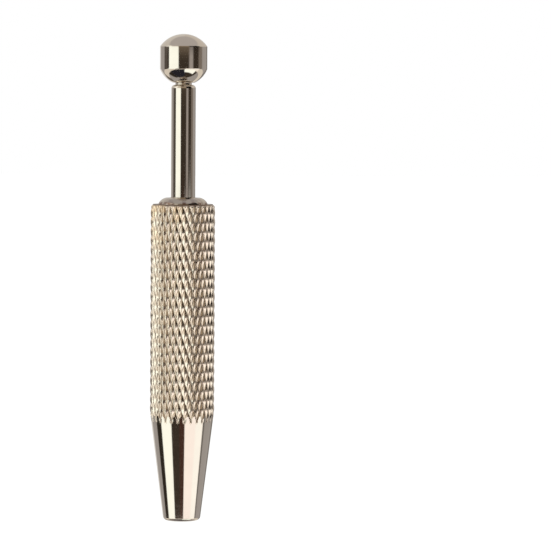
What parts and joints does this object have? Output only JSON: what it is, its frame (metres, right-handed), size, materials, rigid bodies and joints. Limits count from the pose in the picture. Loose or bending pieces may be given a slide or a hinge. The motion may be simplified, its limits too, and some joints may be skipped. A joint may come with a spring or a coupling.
{
  "type": "claw pick-up tool",
  "caption": "Pen-shaped metal claw pick-up tool: knurled barrel, tapered nose and a sprung ball-knob plunger that pushes out wire claws.",
  "frame": {"origin": "centre of the nose's end face, the lowest point of the tool held nose down", "axes": "+Z along the tool's axis from the nose to the ball knob; +X towards the first claw"},
  "size_m": [0.009, 0.009, 0.0678],
  "materials": {
    "knurled_nickel": "bright nickel plate over a diamond knurl, polished nose",
    "bright_nickel": "bright nickel plate, polished",
    "turned_brass": "as turned",
    "spring_steel": "drawn wire"
  },
  "bodies": {
    "barrel": {"knurled_barrel": "knurled_nickel", "end_plug": "bright_nickel", "spring_washer": "spring_steel"},
    "spring": {"return_spring": "spring_steel"},
    "plunger": {"push_knob": "bright_nickel", "plunger_rod": "bright_nickel", "stop_collar": "turned_brass", "claw_carrier": "turned_brass", "claw_ferrule": "spring_steel"},
    "claw_1": {"claw_1": "spring_steel"},
    "claw_2": {"claw_2": "spring_steel"},
    "claw_3": {"claw_3": "spring_steel"},
    "claw_4": {"claw_4": "spring_steel"}
  },
  "joints": [
    {"name": "plunger_spin", "type": "hinge", "parent": "barrel", "child": "spring", "pos_m": [0, 0, 0.03], "axis": [0, 0, 1], "continuous": true},
    {"name": "plunger_press", "type": "slide", "parent": "spring", "child": "plunger", "axis": [0, 0, -1], "range_m": [0, 0.011], "stiffness_N_per_m": 250, "springref_m": -0.006, "deforming": ["return_spring"]},
    {"name": "claw_1_open", "type": "hinge", "parent": "plunger", "child": "claw_1", "pos_m": [0.00062, 0, 0.0122], "axis": [0, -1, 0], "range_deg": [0, 14.01]},
    {"name": "claw_2_open", "type": "hinge", "parent": "plunger", "child": "claw_2", "pos_m": [0, 0.00062, 0.0122], "axis": [1, 0, 0], "range_deg": [0, 14.01]},
    {"name": "claw_3_open", "type": "hinge", "parent": "plunger", "child": "claw_3", "pos_m": [-0.00062, 0, 0.0122], "axis": [0, 1, 0], "range_deg": [0, 14.01]},
    {"name": "claw_4_open", "type": "hinge", "parent": "plunger", "child": "claw_4", "pos_m": [0, -0.00062, 0.0122], "axis": [-1, 0, 0], "range_deg": [0, 14.01]}
  ],
  "couplings": [
    {"joint": "claw_1_open", "follows": "plunger_press", "rad_per_m": 22.213},
    {"joint": "claw_2_open", "follows": "plunger_press", "rad_per_m": 22.213},
    {"joint": "claw_3_open", "follows": "plunger_press", "rad_per_m": 22.213},
    {"joint": "claw_4_open", "follows": "plunger_press", "rad_per_m": 22.213}
  ]
}
